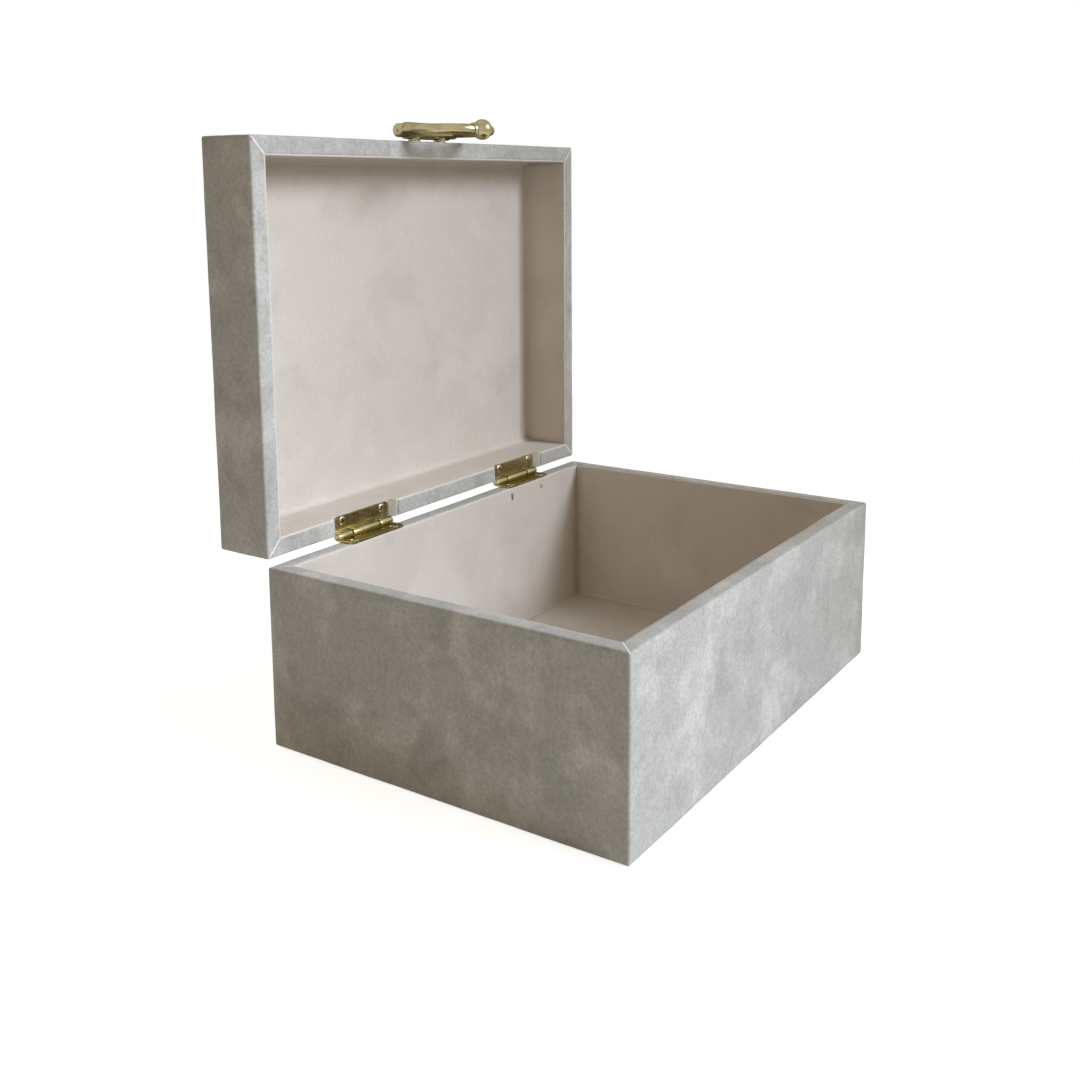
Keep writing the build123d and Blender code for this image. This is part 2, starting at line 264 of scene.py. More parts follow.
def ring_round_box(half_x, half_y, inset, level, cut_sign):
    """Points once round the box at an inset from its outer faces. Every side starts at its mitre
    line, where the cut lowers the sheet in the direction of cut_sign."""
    radius = max(edge_rounding - inset, 0.0)
    opened = smooth_step(inset / edge_rounding) if cut_sign else 0.0
    gap = cut_half_width * opened
    mitre = math.radians(45)
    points = []
    for side in range(4):
        half_run, reach = (half_x, half_y) if side % 2 == 0 else (half_y, half_x)
        centre_u = half_run - inset - radius
        centre_v = reach - inset - radius
        corner = []
        for step in range(corner_steps):
            angle = mitre * step / corner_steps
            spare = gap - radius * math.sin(mitre - angle)
            slide = max(spare, 0.0) * math.sqrt(2)
            u = centre_u + radius * math.sin(angle) - slide
            corner.append((u, centre_v + radius * math.cos(angle)))
        tip_u = centre_u + radius * math.sin(mitre)
        tip_v = centre_v + radius * math.cos(mitre)
        columns = [(-tip_u, tip_v, cut_sign * cut_depth * opened)]
        columns += [(-u, v, 0.0) for u, v in reversed(corner)]
        end_u, end_v = corner[0]
        for step in range(1, run_steps):
            columns.append((-end_u + 2 * end_u * step / run_steps, end_v, 0.0))
        columns += [(u, v, 0.0) for u, v in corner]
        quarter = Matrix.Rotation(math.radians(90) * side, 3, "Z")
        for u, v, lift in columns:
            points.append(quarter @ Vector((u, -v, level + lift)))
    return points


def quarter_round(start, end, steps=5):
    """Profile spots round an edge, from one flat to the next, both ends left out."""
    spots = []
    for step in range(1, steps):
        angle = math.radians(90) * step / steps
        shares = [1 - math.cos(angle), math.sin(angle)]
        if end[0] < start[0]:
            shares.reverse()
        spots.append(tuple(a + (b - a) * share for a, b, share in zip(start, end, shares)))
    return spots


def spread(start, end, steps):
    """Profile spots evenly from start to end, both ends kept."""
    return [
        tuple(a + (b - a) * step / steps for a, b in zip(start, end)) for step in range(steps + 1)
    ]


def tagged(spots, cut_sign=0, outer=1):
    """Profile spots with the sign of their mitre cut, and 1 if they are on the outer face."""
    return [spot + (cut_sign, outer) for spot in spots]


def piece_from(body, name, materials):
    """Turns a made mesh into an object with its materials."""
    mesh = bpy.data.meshes.new(name)
    body.to_mesh(mesh)
    body.free()
    for material in materials:
        mesh.materials.append(material)
    return new_object(name, mesh)


def wrapped_sheet(name, half_x, half_y, profile, placement):
    """A sheet glued round the box. profile holds (inset, level, cut sign, outer).
    Where both faces of the sheet close over the box's middle, no wall is left between them."""
    shell = bmesh.new()
    outer_layer = shell.verts.layers.int.new("outer")
    rows = []
    for inset, level, cut_sign, outer in profile:
        row = []
        for point in ring_round_box(half_x, half_y, inset, level, cut_sign):
            vertex = shell.verts.new(point)
            vertex[outer_layer] = outer
            row.append(vertex)
        rows.append(row)
    count = len(rows[0])
    side_count = count // 4
    after_rows = rows[1:] + rows[:1]
    after_spots = profile[1:] + profile[:1]
    for low, high, low_spot, high_spot in zip(rows, after_rows, profile, after_spots):
        if min(low_spot[0], high_spot[0]) > half_y - edge_rounding:
            continue
        for column in range(count):
            after = (column + 1) % count
            face = shell.faces.new((low[column], low[after], high[after], high[column]))
            beside_cut = column % side_count in (0, side_count - 1)
            if beside_cut and low_spot[2] and high_spot[2]:
                face.material_index = 1
            face.smooth = True
    bmesh.ops.remove_doubles(shell, verts=shell.verts, dist=weld_distance)
    bmesh.ops.recalc_face_normals(shell, faces=shell.faces)
    shell.normal_update()
    for vertex in shell.verts:
        if vertex[outer_layer]:
            wave = suede_wave * noise.noise(vertex.co / suede_wave_length)
            wave += suede_ripple * noise.noise(vertex.co / suede_ripple_length)
            vertex.co += vertex.normal * wave
    shell.transform(placement)
    return piece_from(shell, name, (suede, pale_backing))


def new_group(name, colours, values):
    """A shader node group with named inputs, which puts out a colour, a roughness and a height."""
    group = bpy.data.node_groups.new(name, "ShaderNodeTree")
    sockets = [(label, "INPUT", "Color") for label in colours]
    sockets += [(label, "INPUT", "Float") for label in values]
    sockets += [("Colour", "OUTPUT", "Color")]
    sockets += [(label, "OUTPUT", "Float") for label in ("Roughness", "Height")]
    for label, way, kind in sockets:
        group.interface.new_socket(label, in_out=way, socket_type=f"NodeSocket{kind}")
    return group, add_node(group, "NodeGroupInput", (-1200, 0)).outputs


def end_group(group, colour, roughness, height):
    """Puts a group's results on its outputs."""
    feeds = [("Colour", colour), ("Roughness", roughness), ("Height", height)]
    add_node(group, "NodeGroupOutput", (900, 0), feeds)
    return group


def noise_field(tree, size, place, detail, roughness, stretch=(1, 1, 1), distortion=0.0):
    """Noise in the object's own coordinates. Its grain is as large as size says, in metres."""
    x, y = place
    here = add_node(tree, "ShaderNodeTexCoord", (x - 600, y)).outputs["Object"]
    stretched = add_node(
        tree, "ShaderNodeVectorMath", (x - 400, y), [(0, here), (1, stretch)], operation="MULTIPLY"
    )
    per_size = math_node(tree, "DIVIDE", (x - 400, y - 160), 1.0, size)
    feeds = [
        ("Vector", stretched.outputs[0]), ("Scale", per_size), ("Detail", detail),
        ("Roughness", roughness), ("Distortion", distortion),
    ]
    return add_node(tree, "ShaderNodeTexNoise", (x - 180, y), feeds).outputs["Fac"]


def mixed(tree, mask, first, second, place):
    """Two colours mixed by a mask. The node's colour sockets are its inputs 6 and 7, output 2."""
    feeds = [(0, mask), (6, first), (7, second)]
    return add_node(tree, "ShaderNodeMix", place, feeds, data_type="RGBA").outputs[2]


def brushed_nap_group():
    """Short brushed fibres: soft clouds where the nap lies differently, a fine speckled grain,
    and pale fibre tips on sharp convex edges, which are partly rubbed nap and partly a painted
    highlight along the edges."""
    group, given = new_group(
        "brushed nap",
        ("Ground", "Bloom", "Shade", "Rubbed Edge And Highlight"), ("Cloud Size", "Grain Size", "Grain Contrast"),
    )
    clouds = noise_field(
        group, given["Cloud Size"], (-500, 500), detail=5.0, roughness=0.58, distortion=0.35
    )
    drifts = noise_field(
        group, given["Cloud Size"], (-500, 100), detail=4.0, roughness=0.60,
        stretch=(1.6, 1.5, 1.4), distortion=0.6,
    )
    grain = noise_field(group, given["Grain Size"], (-500, -300), detail=4.0, roughness=0.8)
    light_patches = mapped(group, clouds, (0.46, 0.72), (0.0, 1.0), (-250, 500))
    dark_patches = mapped(group, drifts, (0.46, 0.74), (0.0, 0.9), (-250, 100))
    coloured = mixed(group, dark_patches, given["Ground"], given["Shade"], (0, 300))
    coloured = mixed(group, light_patches, coloured, given["Bloom"], (180, 300))
    # Sharp convex edges take the pale edge colour where the grain is high: partly worn nap, partly
    # a painted highlight along the edges.
    pointed = add_node(group, "ShaderNodeNewGeometry", (-250, -600)).outputs["Pointiness"]
    convex = mapped(group, pointed, (0.53, 0.62), (0.0, 1.0), (-80, -600))
    tips = mapped(group, grain, (0.35, 0.65), (0.15, 1.0), (-80, -450))
    rubbed = math_node(group, "MULTIPLY", (90, -500), convex, tips)
    coloured = mixed(group, rubbed, coloured, given["Rubbed Edge And Highlight"], (300, 300))
    centred = math_node(group, "SUBTRACT", (-80, -300), grain, 0.5)
    strength = math_node(group, "MULTIPLY_ADD", (90, -300), centred, given["Grain Contrast"], 1.0)
    feeds = [(0, coloured), ("Scale", strength)]
    lit = add_node(group, "ShaderNodeVectorMath", (500, 200), feeds, operation="SCALE")
    roughness = mapped(group, grain, (0.3, 0.7), (0.95, 0.78), (400, -100))
    return end_group(group, lit.outputs[0], roughness, grain)


brushed_nap = brushed_nap_group()


def surface_material(name, group, values, bump_strength, relief, finish):
    """A material whose colour, roughness and bump come from a node group with these values.
    finish holds the shader's own settings, which are the same all over."""
    material = bpy.data.materials.new(name)
    material.use_nodes = True
    tree = material.node_tree
    surface = add_node(tree, "ShaderNodeGroup", (-500, 200), values, node_tree=group).outputs
    feeds = [("Strength", bump_strength), ("Distance", relief), ("Height", surface["Height"])]
    bump = add_node(tree, "ShaderNodeBump", (-250, -200), feeds)
    feeds = [
        ("Normal", bump.outputs["Normal"]),
        ("Base Color", surface["Colour"]),
        ("Roughness", surface["Roughness"]),
    ]
    feed(tree, tree.nodes["Principled BSDF"], feeds + finish)
    return material


def nap_material(
    name, colours, clouds, grain, contrast, relief, sheen=0.0, sheen_colour=(1, 1, 1, 1)
):
    """Cloth or fibres with a brushed nap. colours are its ground, bloom, shade and rubbed edge,
    which also paints a highlight along the edges. clouds, grain and relief are sizes."""
    labels = ("Ground", "Bloom", "Shade", "Rubbed Edge And Highlight", "Cloud Size", "Grain Size", "Grain Contrast")
    values = zip(labels, (*colours, clouds, grain, contrast))
    finish = [
        ("Specular IOR Level", nap_gloss),
        ("Sheen Weight", sheen),
        ("Sheen Roughness", nap_sheen_roughness),
        ("Sheen Tint", sheen_colour),
    ]
    return surface_material(name, brushed_nap, values, nap_bump_strength, relief, finish)


def raw_cut_material(name, colour):
    """A raw cut edge of backing, card or board: pale and fibrous."""
    shade = tuple(c * raw_cut_shade for c in colour[:3]) + (1,)
    return nap_material(
        name, (colour, colour, shade, colour),
        clouds=6 * MM, grain=0.3 * MM, contrast=0.25, relief=0.1 * MM,
    )


suede = nap_material(
    "grey suede", (suede_ground, suede_bloom, suede_shade, suede_rubbed_and_highlight),
    clouds=26 * MM, grain=1.5 * MM, contrast=1.0, relief=0.3 * MM,
    sheen=suede_sheen, sheen_colour=suede_sheen_colour,
)
pale_backing = raw_cut_material("pale backing", backing_colour)

base_low, base_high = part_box("base_covering")
half_width = base_high.x
half_depth = base_high.y
rim_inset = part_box("base_front_board")[1].y + half_depth
base_foot, base_rim = base_low.z, base_high.z
wall_start, wall_end = base_foot + edge_rounding, base_rim - edge_rounding
base_profile = tagged(
    [(turned_under, base_foot)]
    + spread((turned_under - MM, base_foot), (edge_rounding, base_foot), under_steps)
    + quarter_round((edge_rounding, base_foot), (0.0, wall_start))
    + spread((0.0, wall_start), (0.0, wall_end), wall_steps)
)
base_profile += tagged(
    quarter_round((0.0, wall_end), (edge_rounding, base_rim))
    + spread((edge_rounding, base_rim), (rim_inset - inner_edge_rounding, base_rim), rim_steps),
    cut_sign=-1,
)
base_profile += tagged(
    [
        (rim_inset, base_rim - inner_edge_rounding),
        (rim_inset, base_rim - sheet_thickness),
        (sheet_thickness, base_rim - sheet_thickness),
        (sheet_thickness, base_foot + sheet_thickness),
        (turned_under, base_foot + sheet_thickness),
    ],
    outer=0,
)
base_sheet = wrapped_sheet("base_wrapped_sheet", half_width, half_depth, base_profile, Matrix())
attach(base_sheet, "base")
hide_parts("base_covering")

# Covering of the lid
# A second sheet over the top and down the walls, turned over the rim and cut at its corners.
# Two recesses are cut through its back wall for the hinges.

cap_steps = 16
lid_wall_steps = 16
recess_floor_clearance = 0.5 * MM
recess_slope_run = 2.8 * MM

lid_low, lid_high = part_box("lid_covering")
lid_height = lid_high.y - lid_low.y
lid_half_depth = (lid_high.z - lid_low.z) / 2
lid_placement = Matrix(
    (
        (1, 0, 0, 0),
        (0, 0, 1, lid_low.y),
        (0, -1, 0, (lid_high.z + lid_low.z) / 2),
        (0, 0, 0, 1),
    )
)


def add_prism(body, outline, start, end, to_place):
    """Adds a closed prism: outline is a list of 2-D points, swept from start to end."""
    near = [body.verts.new(to_place(start, *point)) for point in outline]
    far = [body.verts.new(to_place(end, *point)) for point in outline]
    body.faces.new(near)
    body.faces.new(list(reversed(far)))
    for i in range(len(outline)):
        j = (i + 1) % len(outline)
        body.faces.new((near[j], near[i], far[i], far[j]))


def subtract(piece, body):
    """Cuts a made form out of a piece."""
    bmesh.ops.recalc_face_normals(body, faces=body.faces)
    cutter = piece_from(body, "cutter", ())
    cutting = piece.modifiers.new("cut", "BOOLEAN")
    cutting.object = cutter
    cutting.solver = "EXACT"
    bpy.context.view_layer.objects.active = piece
    bpy.ops.object.modifier_apply(modifier=cutting.name)
    bpy.data.objects.remove(cutter)


def recess_places():
    """Middle, half length on the floor, and depth below the rim of each hinge recess in the lid."""
    for side in ("left", "right"):
        leaf_low, leaf_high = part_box(f"{side}_hinge_lid_leaf")
        half_length = (leaf_high.x - leaf_low.x) / 2 + recess_floor_clearance
        yield (leaf_low.x + leaf_high.x) / 2, half_length, leaf_high.y - lid_low.y


def cut_recesses(piece):
    """Cuts both hinge recesses, with their sloping ends, through the lid's back wall."""
    for middle, half_length, depth in recess_places():
        beyond = recess_slope_run * MM / depth
        outline = [
            (middle - half_length, depth),
            (middle + half_length, depth),
            (middle + half_length + recess_slope_run + beyond, -MM),
            (middle - half_length - recess_slope_run - beyond, -MM),
        ]
        cutter = bmesh.new()
        add_prism(
            cutter, outline, lid_low.z - MM, lid_low.z + rim_inset + 2 * MM,
            lambda across, along, deep: (along, lid_low.y + deep, across),
        )
        subtract(piece, cutter)


wall_end = lid_height - edge_rounding
under_cap = lid_height - sheet_thickness
lid_profile = tagged([(rim_inset, sheet_thickness), (rim_inset, inner_edge_rounding)], outer=0)
lid_profile += tagged(
    spread((rim_inset - inner_edge_rounding, 0.0), (edge_rounding, 0.0), rim_steps)
    + quarter_round((edge_rounding, 0.0), (0.0, edge_rounding)),
    cut_sign=1,
)
lid_profile += tagged(
    spread((0.0, edge_rounding), (0.0, wall_end), lid_wall_steps)
    + quarter_round((0.0, wall_end), (edge_rounding, lid_height))
    + spread((edge_rounding, lid_height), (lid_half_depth, lid_height), cap_steps)
)
lid_profile += tagged(
    spread((lid_half_depth, under_cap), (sheet_thickness, under_cap), cap_steps)
    + [(sheet_thickness, sheet_thickness)],
    outer=0,
)
lid_sheet = wrapped_sheet(
    "lid_wrapped_sheet", half_width, lid_half_depth, lid_profile, lid_placement
)
cut_recesses(lid_sheet)
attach(lid_sheet, "lid")
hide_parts("lid_covering")

# Tongues of the covering
# At each end of a hinge recess the sheet is pulled down the slope and glued there. The pull makes
# it paler. At the right-hand ends a crease is left, painted near-black as the shade inside it, and
# its pale backing shows at the inner end.

stretched_ground = (0.860, 0.775, 0.695, 1)
stretched_bloom = (0.930, 0.850, 0.770, 1)
stretched_shade = (0.700, 0.630, 0.560, 1)
crease_shade_colour = (0.090, 0.084, 0.076, 1)
crease_width = 0.4 * MM
crease_depth = 0.45 * MM
crease_share = 0.65
crease_taper = 0.8
frayed_width = 1.1 * MM
tongue_rise = 0.15 * MM
tongue_lift = 0.05 * MM
tongue_rounding = 1.0 * MM
tongue_tail = 0.4 * MM
tongue_steps = 6
tongue_sharp_angle = 40

stretched_suede = nap_material(
    "stretched suede", (stretched_ground, stretched_bloom, stretched_shade, suede_rubbed_and_highlight),
    clouds=8 * MM, grain=1.0 * MM, contrast=0.8, relief=0.2 * MM,
    sheen=suede_sheen, sheen_colour=suede_sheen_colour,
)
# The crease material is near-black: painted shade inside the slit, not the suede's own colour.
crease = nap_material(
    "painted crease shade", (crease_shade_colour, crease_shade_colour, crease_shade_colour, suede_shade),
    clouds=4 * MM, grain=0.8 * MM, contrast=0.5, relief=0.1 * MM,
)


def tongue_outline(half_length, depth):
    """Side view of a tongue: up the slope, over on to the rim, and back inside the board."""
    slope = math.atan2(depth, recess_slope_run)
    centre_deep = tongue_rounding - tongue_lift
    rise = tongue_rounding - tongue_rise - math.cos(slope) * (centre_deep - depth)
    centre_along = half_length + rise / math.sin(slope)
    foot = half_length - tongue_rise / math.sin(slope)
    tail = half_length + recess_slope_run + tongue_tail
    outline = [(foot, depth)]
    for step in range(tongue_steps + 1):
        angle = slope * (1 - step / tongue_steps)
        along = centre_along - tongue_rounding * math.sin(angle)
        outline.append((along, centre_deep - tongue_rounding * math.cos(angle)))
    return outline + [(tail, -tongue_lift), (tail, sheet_thickness), (half_length + MM, depth)]


tongues = bmesh.new()
for middle, half_length, depth in recess_places():
    for side in (-1, 1):
        add_prism(
            tongues, tongue_outline(half_length, depth),
            lid_low.z + tongue_rise, lid_low.z + rim_inset - tongue_rise,
            lambda across, along, deep: (middle + side * along, lid_low.y + deep, across),
        )
bmesh.ops.recalc_face_normals(tongues, faces=tongues.faces)
recess_tongues = piece_from(tongues, "recess_tongues", (stretched_suede,))
recess_tongues.data.set_sharp_from_angle(angle=math.radians(tongue_sharp_angle))
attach(recess_tongues, "lid")

lid_sheet.data.materials.append(crease)
rim_back, rim_front = lid_low.z + rim_inset + MM, lid_low.z - MM
crease_turn = rim_front + (rim_back - rim_front) * crease_share
for middle, half_length, depth in recess_places():
    start = middle + half_length + recess_slope_run + tongue_tail
    # The outer part of each slit takes the near-black crease colour, which is painted shade. The
    # inner part shows the backing.
    for width, low_end, high_end, material_index in (
        (crease_width, rim_front, crease_turn, 2),
        (frayed_width, crease_turn, rim_back, 1),
    ):
        slit = bmesh.new()
        foot_width = width * crease_taper
        add_prism(
            slit, [(0.0, -MM), (width, -MM), (foot_width, crease_depth), (0.0, crease_depth)],
            low_end, high_end,
            lambda across, along, deep: (start + along, lid_low.y + deep, across),
        )
        for face in slit.faces:
            face.material_index = material_index
        subtract(lid_sheet, slit)

# Boards
# Pale fibreboard under the covering. It shows only in the cuts of the rim. The lid's back board
# is made anew, with the sloping ends of its two recesses.

board_colour = (0.74, 0.70, 0.63, 1)

fibreboard = raw_cut_material("fibreboard", board_colour)
for node_name, node in frame["nodes"].items():
    if node_name.endswith("_board"):
        node.data.materials.clear()
        node.data.materials.append(fibreboard)

board_low, board_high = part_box("lid_back_board")
board_thickness = board_high.z - board_low.z
back_board_mesh = bmesh.new()
add_prism(
    back_board_mesh,
    [
        (board_low.x, board_low.z),
        (board_high.x, board_low.z),
        (board_high.x - board_thickness, board_high.z),
        (board_low.x + board_thickness, board_high.z),
    ],
    board_low.y, board_high.y, lambda deep, along, across: (along, deep, across),
)
bmesh.ops.recalc_face_normals(back_board_mesh, faces=back_board_mesh.faces)
back_board = piece_from(back_board_mesh, "lid_back_fibreboard", (fibreboard,))
cut_recesses(back_board)
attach(back_board, "lid")
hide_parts("lid_back_board")

# Pad under the base
# A sheet of dark felt on which the box stands. It is glued to the bottom board, inside the
# turned-under edge of the covering.

felt_ground = (0.050, 0.047, 0.043, 1)
felt_bloom = (0.085, 0.080, 0.074, 1)
felt_shade = (0.032, 0.030, 0.028, 1)
felt_wave = 0.06 * MM
felt_wave_length = 9 * MM
felt_edge = 0.3 * MM
panel_steps = 40
bend_shares = (0.0, 0.3)
cove_angles = range(0, 90, 15)
wave_hold = 12.0 * MM
rim_band = 2 * MM
rim_wave_share = 0.7
rim_wave_shift = Vector((7, 3, 5))
foot_sink = 0.4 * MM


def panel_mesh(
    name, place, half_run, bottom, top, thickness, roundings, waves, materials, splay=0.0, cove=0.0
):
    """A card or pad. place maps (along, up, out) to the object's frame, and out is the shown side.
    roundings are those of its top edge and of its other edges. splay draws its ends in towards the
    shown side, as at a mitre. cove is the radius with which its foot runs into the next card."""
    panel = bmesh.new()
    top_rounding, side_rounding = roundings
    wave_height, wave_length, rim_wave = waves

    def stations(start, end, start_rounding, end_rounding):
        """Places along one way, each with how far it lies within an edge's rounding."""
        inner = start + start_rounding
        run = end - end_rounding - inner
        result = [(start + start_rounding * s, 1 - s) for s in bend_shares if start_rounding]
        result += [(inner + run * i / panel_steps, 0.0) for i in range(panel_steps + 1)]
        result += [(end - end_rounding * s, 1 - s) for s in bend_shares[::-1] if end_rounding]
        return result

    def fall(bend, rounding):
        """How far an edge's rounding lies below the face."""
        return rounding * (1 - math.sqrt(max(1 - bend * bend, 0.0)))

    ups = stations(bottom, top, side_rounding, top_rounding)
    if cove:
        coving = [(bottom + cove * (1 - math.cos(math.radians(a))), 0.0) for a in cove_angles]
        above = [spot for spot in ups if spot[0] > bottom + cove]
        ups = [(bottom - foot_sink, 0.0)] + coving + above
    front, back = [], []
    for up, up_bend in ups:
        front_row, back_row = [], []
        height = min(max(cove - (up - bottom), 0.0), cove)
        coved = cove - math.sqrt(cove * cove - height * height)
        at_top = smooth_step((up - top + rim_band) / rim_band)
        for along, along_bend in stations(-half_run, half_run, side_rounding, side_rounding):
            squeeze = (half_run - splay - coved * bool(splay)) / half_run
            up_fall = fall(up_bend, top_rounding or side_rounding)
            out = thickness - max(up_fall, fall(along_bend, side_rounding)) + coved
            shown = Vector(place(along * squeeze, up, out))
            ripple = noise.noise(shown / wave_length) * wave_height
            rim_spot = shown / (rim_wave_share * wave_length) + rim_wave_shift
            lift = noise.noise(rim_spot) * rim_wave * at_top
            inside = min(up - bottom - cove, top - up, half_run - abs(along))
            out += ripple * smooth_step(inside / wave_hold)
            front_row.append(panel.verts.new(place(along * squeeze, up + lift, out)))
            back_row.append(panel.verts.new(place(along, up + lift, 0.0)))
        front.append(front_row)
        back.append(back_row)
    rows, columns = len(front), len(front[0])
    for i in range(rows - 1):
        for j in range(columns - 1):
            square = ((i, j), (i, j + 1), (i + 1, j + 1), (i + 1, j))
            face = panel.faces.new([front[k][m] for k, m in square])
            face.smooth = True
            if top_rounding and ups[i + 1][1]:
                face.material_index = len(materials) - 1
            panel.faces.new((back[i + 1][j], back[i + 1][j + 1], back[i][j + 1], back[i][j]))
    border = [(0, j) for j in range(columns)] + [(i, columns - 1) for i in range(1, rows)]
    border += [(rows - 1, j) for j in range(columns - 2, -1, -1)]
    border += [(i, 0) for i in range(rows - 2, 0, -1)]
    for (i, j), (k, m) in zip(border, border[1:] + border[:1]):
        face = panel.faces.new((front[k][m], front[i][j], back[i][j], back[k][m]))
        face.material_index = min(1, len(materials) - 1)
    bmesh.ops.recalc_face_normals(panel, faces=panel.faces)
    return piece_from(panel, name, materials)


felt = nap_material(
    "dark felt", (felt_ground, felt_bloom, felt_shade, felt_bloom),
    clouds=12 * MM, grain=0.9 * MM, contrast=0.7, relief=0.3 * MM, sheen=0.3,
)
pad_low, pad_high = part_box("base_underside_pad")
pad = panel_mesh(
    "base_felt_pad",
    lambda along, up, out: (along, up, pad_high.z - out),
    pad_high.x, pad_low.y, pad_high.y, pad_high.z - pad_low.z,
    (felt_edge, felt_edge), (felt_wave, felt_wave_length, 0.0), (felt,),
)
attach(pad, "base")
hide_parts("base_underside_pad")

# Lining of the base
# Card covered with smooth pinkish-cream suedette: one piece on the floor and four on the walls,
# mitred where they meet. The raw edge of the card shows along the rim.

lining_ground = (0.675, 0.612, 0.546, 1)
lining_bloom = (0.730, 0.668, 0.606, 1)
lining_shade = (0.610, 0.548, 0.480, 1)
card_colour = (0.77, 0.72, 0.66, 1)
lining_wave = 0.12 * MM
lining_wave_length = 45 * MM
lining_rim_wave = 0.22 * MM
lining_edge = 0.4 * MM
base_cove = 1.2 * MM

suedette = nap_material(
    "cream suedette", (lining_ground, lining_bloom, lining_shade, lining_bloom), clouds=48 * MM,
    grain=1.2 * MM, contrast=0.30, relief=0.1 * MM, sheen=0.10, sheen_colour=(1.0, 0.96, 0.92, 1),
)
card = raw_cut_material("card edge", card_colour)
side_turns = {"front": 0, "right": 90, "back": 180, "left": 270}
flat_waves = (lining_wave, lining_wave_length, 0.0)
wall_waves = (lining_wave, lining_wave_length, lining_rim_wave)


def lining_set(owner, placement, half_x, half_y, level, rim_level, thickness, cove):
    """Four wall linings of the base or lid, from level to rim_level, with a cove at their foot."""
    for side, turn in side_turns.items():
        quarter = placement @ Matrix.Rotation(math.radians(turn), 4, "Z")
        half_run, reach = (half_x, half_y) if side in ("front", "back") else (half_y, half_x)

        def on_wall(along, up, out):
            return quarter @ Vector((along, out - reach, up))

        piece = panel_mesh(
            f"{owner}_{side}_suedette", on_wall, half_run, level, rim_level, thickness,
            (lining_edge, 0.0), wall_waves, (suedette, card), splay=thickness, cove=cove,
        )
        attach(piece, owner)
        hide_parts(f"{owner}_{side}_lining")


floor_low, floor_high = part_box("base_floor_lining")
floor_lining = panel_mesh(
    "base_floor_suedette",
    lambda along, up, out: (along, up, floor_low.z + out),
    floor_high.x, floor_low.y, floor_high.y, floor_high.z - floor_low.z,
    (0.0, 0.0), flat_waves, (suedette, card),
)
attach(floor_lining, "base")
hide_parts("base_floor_lining")
wall_low, wall_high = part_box("base_front_lining")
lining_thickness = wall_high.y - wall_low.y
lining_set(
    "base", Matrix(), floor_high.x, floor_high.y,
    wall_low.z, wall_high.z, lining_thickness, base_cove,
)

# Marks in the lining of the base's back wall
# Two small nicks below the right hinge and a speck further left, pressed into the suedette.
# Each has its place along and up the wall, half its width and height, and its lean in degrees.

nick_colour = (0.060, 0.054, 0.050, 1)
nick_depth = 0.25 * MM
nick_sides = 12
lining_marks = (
    (49.4 * MM, 78.9 * MM, 0.55 * MM, 1.9 * MM, 8),
    (78.1 * MM, 78.6 * MM, 0.22 * MM, 0.9 * MM, 4),
    (-78.8 * MM, 62.9 * MM, 0.28 * MM, 0.30 * MM, 0),
)

nick_shadow = nap_material(
    "shadowed nick", (nick_colour, nick_colour, nick_colour, lining_shade),
    clouds=2 * MM, grain=0.4 * MM, contrast=0.4, relief=0.1 * MM,
)
back_lining = bpy.data.objects["base_back_suedette"]
back_lining.data.materials.append(nick_shadow)
lining_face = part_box("base_back_lining")[0].y
for x, z, half_wide, half_tall, lean in lining_marks:
    mark = bmesh.new()
    outline = []
    for step in range(nick_sides):
        angle = 2 * math.pi * step / nick_sides
        flat = Vector((half_wide * math.cos(angle), half_tall * math.sin(angle)))
        flat.rotate(Matrix.Rotation(math.radians(lean), 2))
        outline.append((x + flat.x, z + flat.y))
    add_prism(
        mark, outline, lining_face - MM, lining_face + nick_depth,
        lambda deep, along, up: (along, deep, up),
    )
    for face in mark.faces:
        face.material_index = 2
    subtract(back_lining, mark)

# Lining of the lid
# The same card and suedette under the top and on the four walls. The hinge recesses cut through
# the back one.

lid_cove = 3.0 * MM

top_low, top_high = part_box("lid_top_lining")
top_lining = panel_mesh(
    "lid_top_suedette",
    lambda along, up, out: (along, top_high.y - out, up),
    top_high.x, top_low.z, top_high.z, top_high.y - top_low.y,
    (0.0, 0.0), flat_waves, (suedette, card),
)
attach(top_lining, "lid")
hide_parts("lid_top_lining")
lid_wall_low, lid_wall_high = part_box("lid_front_lining")
lid_upside_down = lid_placement @ Matrix.Scale(-1, 4, Vector((0, 0, 1)))
lining_set(
    "lid", lid_upside_down, top_high.x, (top_high.z - top_low.z) / 2,
    lid_low.y - lid_wall_high.y, lid_low.y - lid_wall_low.y, lining_thickness, lid_cove,
)
cut_recesses(bpy.data.objects["lid_back_suedette"])

# Hinges
# Two brass butt hinges, 38 mm long. Each leaf is a plate whose edge is rolled into knuckles
# round a pin, and is screwed down by two countersunk screws.

leaf_thickness = 1.0 * MM
leaf_corner = 2.0 * MM
leaf_corner_steps = 6
knuckle_gap = 0.9 * MM
middle_knuckle = 18.2 * MM
pin_fit = 0.05 * MM
pin_dome = 0.25 * MM
pin_sides = 24
pin_end_facing = 0.3
plate_gap = 0.12 * MM
seam_gap = 0.18 * MM
roll_steps = 26
brass_bevel = 0.14 * MM
brass_sharp_angle = 35
screw_end_distance = 5.0 * MM
screw_edge_distance = 2.6 * MM
screw_head_radius = 2.2 * MM
screw_shank_radius = 1.0 * MM
screw_length = 8.0 * MM
screw_tip = 2 * MM
screw_sides = 32
screw_dome = 0.36 * MM
screw_fit = 0.06 * MM
screw_hole_depth = 2 * MM
slot_length = 2.8 * MM
slot_width = 0.6 * MM
slot_depth = 0.75 * MM
slot_shoulder = 0.05 * MM
brass_cloud_size = 10 * MM
brass_line_size = 0.5 * MM
brass_bump_strength = 0.2
brass_relief = 0.01 * MM

